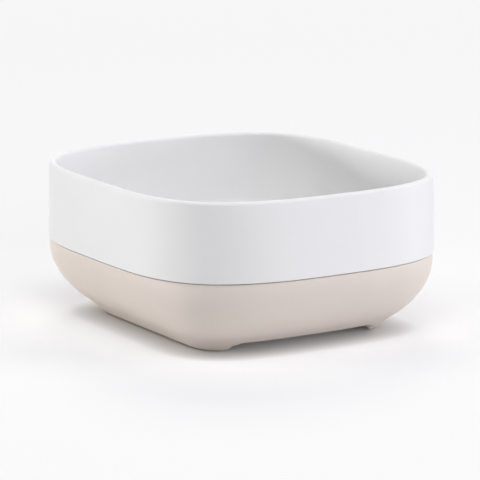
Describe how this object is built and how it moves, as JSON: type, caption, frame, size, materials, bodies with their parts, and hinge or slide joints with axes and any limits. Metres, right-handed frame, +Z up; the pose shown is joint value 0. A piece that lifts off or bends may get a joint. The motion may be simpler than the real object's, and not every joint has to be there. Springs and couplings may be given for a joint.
{
  "type": "soap dish",
  "caption": "Rounded rectangular soap dish: a white ribbed drain tray lifts off a beige bowl-shaped base that catches the water.",
  "frame": {"origin": "on the surface the dish stands on, under the middle of the dish", "axes": "+X along the long side, +Y along the short side, +Z up"},
  "size_m": [0.11, 0.1, 0.0476],
  "materials": {
    "white_plastic": "satin",
    "beige_plastic": "satin",
    "soft_pad": "matte"
  },
  "bodies": {
    "base": {"water_base": "beige_plastic", "grip_pad_front_left": "soft_pad", "grip_pad_front_right": "soft_pad", "grip_pad_rear_left": "soft_pad", "grip_pad_rear_right": "soft_pad"},
    "tray": {"soap_tray": "white_plastic"}
  },
  "joints": [
    {"name": "tray_lift", "type": "slide", "parent": "base", "child": "tray", "axis": [0, 0, 1], "range_m": [0, 0.05]}
  ]
}
